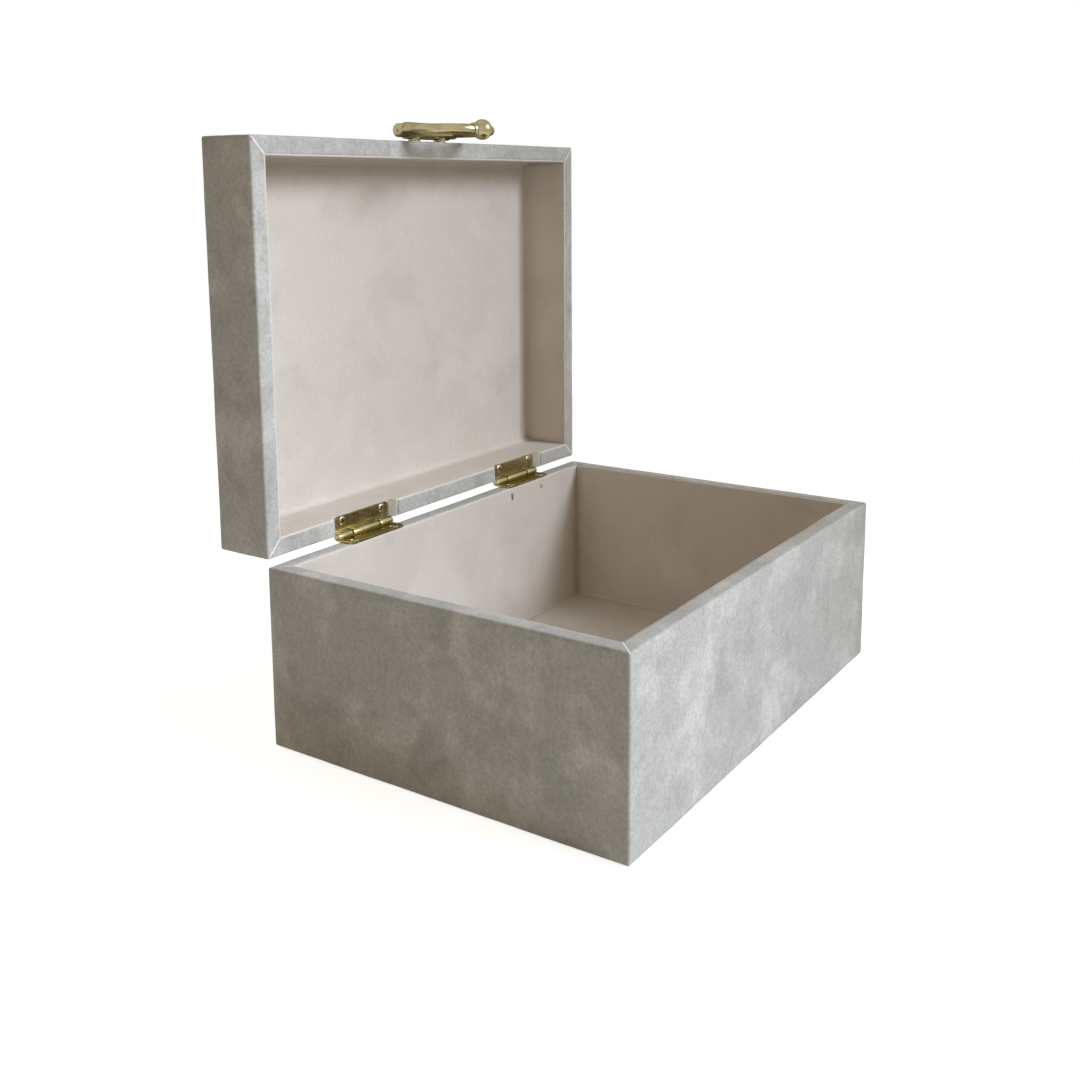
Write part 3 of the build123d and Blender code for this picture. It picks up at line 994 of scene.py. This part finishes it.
brass_colour = (0.415, 0.348, 0.170, 1)
brass_tarnish = (0.280, 0.232, 0.108, 1)
brass_bright = (0.600, 0.530, 0.310, 1)
# The screws' colour is much paler than the hinge brass: a painted highlight for the light that
# their domed heads catch.
screw_highlight_colour = (0.680, 0.620, 0.430, 1)
brass_grazing = (0.450, 0.410, 0.310, 1)
gap_shade_colour = (0.030, 0.024, 0.012, 1)
slot_shade_colour = (0.170, 0.140, 0.070, 1)


def worn_metal_group():
    """Polished metal that has been handled: tarnish clouds, fine rubbed lines, bright edges."""
    group, given = new_group(
        "worn metal", ("Metal", "Tarnish", "Bright Edge"), ("Cloud Size", "Line Size", "Dullness")
    )
    clouds = noise_field(
        group, given["Cloud Size"], (-500, 400), detail=4.0, roughness=0.6, distortion=0.5
    )
    lines = noise_field(
        group, given["Line Size"], (-500, 0), detail=3.0, roughness=0.7, stretch=(0.12, 1, 1)
    )
    pointed = add_node(group, "ShaderNodeNewGeometry", (-500, -400)).outputs["Pointiness"]
    edges = mapped(group, pointed, (0.53, 0.60), (0.0, 0.8), (-250, -400))
    crevices = mapped(group, pointed, (0.49, 0.42), (0.0, 0.9), (-250, -600))
    tarnished = mapped(group, clouds, (0.42, 0.75), (0.0, 0.9), (-250, 400))
    coloured = mixed(group, tarnished, given["Metal"], given["Tarnish"], (0, 300))
    coloured = mixed(group, crevices, coloured, given["Tarnish"], (100, 100))
    coloured = mixed(group, edges, coloured, given["Bright Edge"], (200, 300))
    streaks = mapped(group, lines, (0.3, 0.7), (-0.06, 0.06), (200, 0))
    dulled = math_node(group, "ADD", (400, 0), streaks, given["Dullness"])
    return end_group(group, coloured, dulled, lines)


worn_metal = worn_metal_group()


def brass_material(name, colour, tarnish, bright, dullness):
    """Brass with a slightly olive tone. dullness is the mean roughness of its surface."""
    labels = ("Metal", "Tarnish", "Bright Edge", "Cloud Size", "Line Size", "Dullness")
    values = zip(labels, (colour, tarnish, bright, brass_cloud_size, brass_line_size, dullness))
    finish = [("Metallic", 1.0), ("Specular Tint", brass_grazing)]
    return surface_material(name, worn_metal, values, brass_bump_strength, brass_relief, finish)


brass = brass_material("hinge brass", brass_colour, brass_tarnish, brass_bright, dullness=0.24)
# Screw heads in the paler brass, whose extra lightness is painted highlight.
screw_highlight_brass = brass_material("screw highlight brass", screw_highlight_colour, brass_colour, brass_bright, dullness=0.24)
# Near-black brass for the pins' sides: painted shade where they show in the gaps between the
# knuckles.
pin_gap_shade_brass = brass_material("pin gap shade brass", gap_shade_colour, gap_shade_colour, gap_shade_colour, dullness=0.40)
# Dark brown brass for the screws' cross recesses: painted shade in the recess.
slot_shade_brass = brass_material("slot shade brass", slot_shade_colour, slot_shade_colour, brass_colour, dullness=0.40)


def soften_edges(body, width, smallest_angle=25):
    """Rounds every sharp edge of a mesh that is being made."""
    bmesh.ops.recalc_face_normals(body, faces=body.faces)
    sharp = [
        e for e in body.edges
        if len(e.link_faces) == 2 and e.calc_face_angle() > math.radians(smallest_angle)
    ]
    bmesh.ops.bevel(
        body, geom=sharp, offset=width, segments=2, profile=0.6, affect="EDGES", clamp_overlap=True
    )
    for face in body.faces:
        face.smooth = True


def finished(body, name, placement, *materials):
    """Moves a made mesh to its place and turns it into a piece that keeps its sharp edges."""
    body.transform(placement)
    piece = piece_from(body, name, materials)
    piece.data.set_sharp_from_angle(angle=math.radians(brass_sharp_angle))
    return piece


def smooth_piece(body, name, placement, *materials):
    """Turns a made mesh into a piece whose faces all point outwards and are shaded smooth."""
    bmesh.ops.recalc_face_normals(body, faces=body.faces)
    for face in body.faces:
        face.smooth = True
    return finished(body, name, placement, *materials)


def join_rings(body, rings):
    """Adds the faces between neighbouring rings of points. A ring of one point is a tip."""
    steps = max(len(ring) for ring in rings)
    for low, high in zip(rings, rings[1:]):
        for k in range(steps):
            n = (k + 1) % steps
            near = [low[k % len(low)], low[n % len(low)]]
            far = [high[n % len(high)], high[k % len(high)]]
            body.faces.new(list(dict.fromkeys(near + far)))


def turned_profile(body, profile, steps, centre=Vector((0, 0, 0))):
    """Adds a form turned about Z. profile runs from the axis to the axis, as (radius, height)."""
    rings = []
    for radius, height in profile:
        points = []
        for k in range(steps if radius else 1):
            angle = 2 * math.pi * k / steps
            spot = Vector((radius * math.cos(angle), radius * math.sin(angle), height))
            points.append(body.verts.new(centre + spot))
        rings.append(points)
    join_rings(body, rings)


hinge_joint = next(j for j in frame["joints"] if j["name"] == "lid_hinge")
hinge_axis = Vector(hinge_joint["pos_m"])
pin_low, pin_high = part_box("left_hinge_pin")
pin_radius = (pin_high.z - pin_low.z) / 2
hinge_length = pin_high.x - pin_low.x
leaf_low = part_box("left_hinge_base_leaf")[0]
barrel_radius = hinge_axis.z - leaf_low.z
leaf_reach = hinge_axis.y - leaf_low.y
plate_edge = barrel_radius + plate_gap


def arc(radius, start, end, steps):
    """Points along an arc round (0, 0), from one angle to another."""
    angles = [start + (end - start) * step / steps for step in range(steps + 1)]
    return [(radius * math.cos(angle), radius * math.sin(angle)) for angle in angles]


def rolled_outline():
    """Side view of a knuckle: the plate's edge rolled round the pin, with a seam at its end."""
    end_angle = math.pi + math.asin((barrel_radius - leaf_thickness - seam_gap) / barrel_radius)
    start_angle = -math.pi / 2
    outer_arc = arc(barrel_radius, start_angle, end_angle, roll_steps)
    inner_arc = arc(pin_radius + pin_fit, start_angle, end_angle, roll_steps)
    plate_foot = (-plate_edge, -barrel_radius)
    plate_top = (-plate_edge, leaf_thickness - barrel_radius)
    return [plate_foot] + outer_arc + inner_arc[::-1] + [plate_top]


def plate_outline():
    """Plan of a leaf's plate, with its two far corners rounded."""
    half_run = hinge_length / 2
    outline = [(half_run, -plate_edge), (-half_run, -plate_edge)]
    for side, start in ((-1, 180), (1, 270)):
        corner = arc(leaf_corner, math.radians(start), math.radians(start + 90), leaf_corner_steps)
        centre = (side * (half_run - leaf_corner), leaf_corner - leaf_reach)
        outline += [(centre[0] + x, centre[1] + y) for x, y in corner]
    return outline


def screw_places():
    """The two screws of a leaf, in the leaf's own frame."""
    level = leaf_thickness - barrel_radius
    reach = hinge_length / 2 - screw_end_distance
    return [Vector((side * reach, screw_edge_distance - leaf_reach, level)) for side in (-1, 1)]


def hinge_leaf_piece(name, spans, placement):
    """One leaf with its knuckles and countersunk holes. spans are its knuckles' (start, length)."""
    plate = bmesh.new()
    add_prism(
        plate, plate_outline(), -barrel_radius, leaf_thickness - barrel_radius,
        lambda s, x, y: (x, y, s),
    )
    soften_edges(plate, brass_bevel)
    piece = finished(plate, name, Matrix(), brass)
    wide, narrow = screw_head_radius + screw_fit, screw_shank_radius + screw_fit
    hole_profile = [
        (0, MM), (wide, MM), (wide, 0.0), (narrow, narrow - wide),
        (narrow, -screw_hole_depth), (0, -screw_hole_depth),
    ]
    for place in screw_places():
        hole = bmesh.new()
        turned_profile(hole, hole_profile, screw_sides, place)
        subtract(piece, hole)
    body = bmesh.new()
    for start, length in spans:
        add_prism(body, rolled_outline(), start, start + length, lambda s, y, z: (s, y, z))
    soften_edges(body, brass_bevel)
    body.from_mesh(piece.data)
    bpy.data.objects.remove(piece)
    return finished(body, name, placement, brass)


def screw_mesh():
    """A countersunk screw with a slightly domed head and a cross recess, head up at the origin."""
    profile = [(0, screw_dome)]
    for degrees in range(15, 90, 15):
        angle = math.radians(degrees)
        profile.append((screw_head_radius * math.sin(angle), screw_dome * math.cos(angle)))
    profile += [
        (screw_head_radius, 0.0),
        (screw_shank_radius, screw_shank_radius - screw_head_radius),
        (screw_shank_radius, screw_tip - screw_length),
        (0, -screw_length),
    ]
    body = bmesh.new()
    turned_profile(body, profile, screw_sides)
    screw = smooth_piece(body, "screw_blank", Matrix(), screw_highlight_brass, slot_shade_brass)
    half_top, half_bottom = slot_length / 2, slot_length / 5
    outline = [
        (-half_top, screw_dome + MM), (half_top, screw_dome + MM), (half_top, slot_shoulder),
        (half_bottom, -slot_depth), (-half_bottom, -slot_depth), (-half_top, slot_shoulder),
    ]
    for turn in (0, 90):
        cross = bmesh.new()
        add_prism(cross, outline, -slot_width / 2, slot_width / 2, lambda s, x, z: (x, s, z))
        cross.transform(Matrix.Rotation(math.radians(turn), 4, "Z"))
        # The recess faces take the dark slot colour, which paints in the shade of the cross.
        for face in cross.faces:
            face.material_index = 1
        subtract(screw, cross)
    mesh = screw.data.copy()
    bpy.data.objects.remove(screw)
    return mesh


outer_knuckle = (hinge_length - middle_knuckle) / 2 - knuckle_gap
knuckle_spans = {
    "base": [(-hinge_length / 2, outer_knuckle), (hinge_length / 2 - outer_knuckle, outer_knuckle)],
    "lid": [(-middle_knuckle / 2, middle_knuckle)],
}
leaf_turns = {
    "base": Matrix(),
    "lid": Matrix(((-1, 0, 0, 0), (0, 0, -1, 0), (0, -1, 0, 0), (0, 0, 0, 1))),
}
screw_twists = {"base": (18, 63, 41, 8), "lid": (52, 27, 74, 35)}
z_along_x = Matrix.Rotation(math.radians(90), 4, "Y")
one_screw = screw_mesh()
for owner, spans in knuckle_spans.items():
    screws = bmesh.new()
    twists = iter(screw_twists[owner])
    for side in ("left", "right"):
        pin_low, pin_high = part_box(f"{side}_hinge_pin")
        centre = Vector(((pin_low.x + pin_high.x) / 2, hinge_axis.y, hinge_axis.z))
        placement = Matrix.Translation(centre) @ leaf_turns[owner]
        leaf = hinge_leaf_piece(f"{side}_{owner}_leaf", spans, placement)
        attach(leaf, owner)
        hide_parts(f"{side}_hinge_{owner}_leaf")
        for place in screw_places():
            single = one_screw.copy()
            single.transform(Matrix.Rotation(math.radians(next(twists)), 4, "Z"))
            single.transform(placement @ Matrix.Translation(place))
            screws.from_mesh(single)
    screw_set = finished(screws, f"{owner}_leaf_screws", Matrix(), screw_highlight_brass, slot_shade_brass)
    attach(screw_set, owner)
    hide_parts(f"{owner}_hinge_screws")

for side in ("left", "right"):
    pin_low, pin_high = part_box(f"{side}_hinge_pin")
    half_run = (pin_high.x - pin_low.x) / 2
    body = bmesh.new()
    turned_profile(
        body,
        [(0, -half_run), (pin_radius - pin_dome, -half_run), (pin_radius, pin_dome - half_run),
         (pin_radius, half_run - pin_dome), (pin_radius - pin_dome, half_run), (0, half_run)],
        pin_sides,
    )
    centre = Matrix.Translation(((pin_low.x + pin_high.x) / 2, hinge_axis.y, hinge_axis.z))
    pin = smooth_piece(body, f"{side}_knuckle_pin", centre @ z_along_x, pin_gap_shade_brass, brass)
    # The pin's side, seen only through the knuckle gaps, takes the near-black painted shade. Its
    # domed ends stay brass.
    for face in pin.data.polygons:
        face.material_index = int(abs(face.normal.x) > pin_end_facing)
    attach(pin, "base")
    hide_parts(f"{side}_hinge_pin")

# Ring pull
# A brass barrel stands on two bosses on the lid's front wall. A ring of round wire swings on its
# pin, by an eye at each end, and carries a ball between two collars.

barrel_bevel = 0.45 * MM
boss_radius = 3.0 * MM
boss_half_spacing = 10.0 * MM
boss_flare = 0.5 * MM
boss_neck = 0.1 * MM
boss_sides = 40
swing_pin_rounding = 0.3 * MM
swing_pin_sides = 24
ring_wire_radius = 2.65 * MM
ring_radius = 21.8 * MM
ring_drop = 12.2 * MM
ball_drop = 35.0 * MM
eye_length = 5.5 * MM
eye_radius = 3.4 * MM
eye_bevel = 0.8 * MM
eye_gap = 0.3 * MM
collar_radius = 3.3 * MM
collar_length = 1.5 * MM
collar_bevel = 0.3 * MM
collar_sharp_angle = 40
collar_steps = 2
wire_steps = 72
wire_sides = 28
rod_sides = 48
rod_bend_steps = 4

pull_colour = (0.430, 0.370, 0.205, 1)
pull_tarnish = (0.250, 0.212, 0.118, 1)
pull_bright = (0.860, 0.810, 0.600, 1)

pull_brass = brass_material(
    "polished pull brass", pull_colour, pull_tarnish, pull_bright, dullness=0.21
)
pull_joint = next(j for j in frame["joints"] if j["name"] == "ring_swing")
pull_axis = Vector(pull_joint["pos_m"])
mount_low, mount_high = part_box("handle_mount")
pull_barrel_radius = mount_high.z - pull_axis.z
barrel_half = mount_high.x
along_barrel = Matrix.Translation(pull_axis) @ z_along_x


def rounded_rod(body, radius, start, end, rounding, steps=rod_sides):
    """Adds a rod along Z whose two end edges are rounded."""
    inner = radius - rounding
    bends = [math.radians(90) * step / rod_bend_steps for step in range(rod_bend_steps + 1)]
    profile = [(0, start)]
    for a in bends:
        profile.append((inner + rounding * math.sin(a), start + rounding * (1 - math.cos(a))))
    for a in bends:
        profile.append((inner + rounding * math.cos(a), end - rounding + rounding * math.sin(a)))
    profile.append((0, end))
    turned_profile(body, profile, steps)


def add_made(body, part):
    """Adds one made mesh to another."""
    mesh = bpy.data.meshes.new("part")
    part.to_mesh(mesh)
    part.free()
    body.from_mesh(mesh)


mount = bmesh.new()
rounded_rod(mount, pull_barrel_radius, -barrel_half, barrel_half, barrel_bevel)
mount.transform(along_barrel)
boss_foot = mount_low.z - pull_axis.z
boss_profile = [
    (0, boss_foot), (boss_radius + boss_flare, boss_foot),
    (boss_radius + boss_neck, boss_foot + boss_flare), (boss_radius, 0.0), (0, 0.0),
]
for side in (-1, 1):
    boss = bmesh.new()
    turned_profile(boss, boss_profile, boss_sides)
    boss.transform(Matrix.Translation(pull_axis + Vector((side * boss_half_spacing, 0, 0))))
    add_made(mount, boss)
mount_piece = smooth_piece(mount, "pull_barrel", Matrix(), pull_brass)
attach(mount_piece, "lid")
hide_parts("handle_mount")

pin_low, pin_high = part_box("handle_pin")
swing_pin = bmesh.new()
rounded_rod(
    swing_pin, (pin_high.z - pin_low.z) / 2, pin_low.x, pin_high.x,
    swing_pin_rounding, swing_pin_sides,
)
swing_pin_piece = smooth_piece(swing_pin, "pull_pin_rod", along_barrel, pull_brass)
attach(swing_pin_piece, "lid")
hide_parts("handle_pin")

ball_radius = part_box("handle_bail")[1].z - pull_axis.z
half_sweep = math.radians(90) + math.asin(ring_drop / ring_radius)
collar_angle = math.asin(ball_radius / ring_radius)
collar_half_sweep = collar_length / 2 / ring_radius
ring_centre = pull_axis - Vector((0, ring_drop, 0))


def add_ring_wire(body, start, end, radius, steps):
    """Adds a length of round wire, bent along the ring. Angles count from the ring's far point."""
    rings = []
    for step in range(steps + 1):
        angle = start + (end - start) * step / steps
        outward = Vector((math.sin(angle), -math.cos(angle), 0))
        points = []
        for k in range(wire_sides):
            turn = 2 * math.pi * k / wire_sides
            spot = ring_centre + outward * (ring_radius + radius * math.cos(turn))
            points.append(body.verts.new(spot + Vector((0, 0, radius * math.sin(turn)))))
        rings.append(points)
    join_rings(body, rings)
    body.faces.new(rings[0])
    body.faces.new(list(reversed(rings[-1])))


ring = bmesh.new()
add_ring_wire(ring, -half_sweep, half_sweep, ring_wire_radius, wire_steps)
for side in (-1, 1):
    start, end = side * collar_angle - collar_half_sweep, side * collar_angle + collar_half_sweep
    add_ring_wire(ring, start, end, collar_radius, collar_steps)
soften_edges(ring, collar_bevel, collar_sharp_angle)
ball_place = Matrix.Translation(pull_axis - Vector((0, ball_drop, 0)))
bmesh.ops.create_uvsphere(
    ring, u_segments=48, v_segments=32, radius=ball_radius, matrix=ball_place @ z_along_x
)
for side in (-1, 1):
    eye = bmesh.new()
    start = barrel_half + eye_gap
    rounded_rod(eye, eye_radius, start, start + eye_length, eye_bevel)
    if side < 0:
        eye.transform(Matrix.Scale(-1, 4, Vector((0, 0, 1))))
    eye.transform(along_barrel)
    add_made(ring, eye)
ring_piece = smooth_piece(ring, "pull_ring_with_ball", Matrix(), pull_brass)
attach(ring_piece, "pull_ring")
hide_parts("handle_bail")

# Screws of the pull
# Two screws hold the barrel's bosses from inside the lid's front wall. The lining hides them,
# so they stay as the CAD has them, in the pull's brass.

frame["nodes"]["handle_screws"].data.materials.clear()
frame["nodes"]["handle_screws"].data.materials.append(pull_brass)
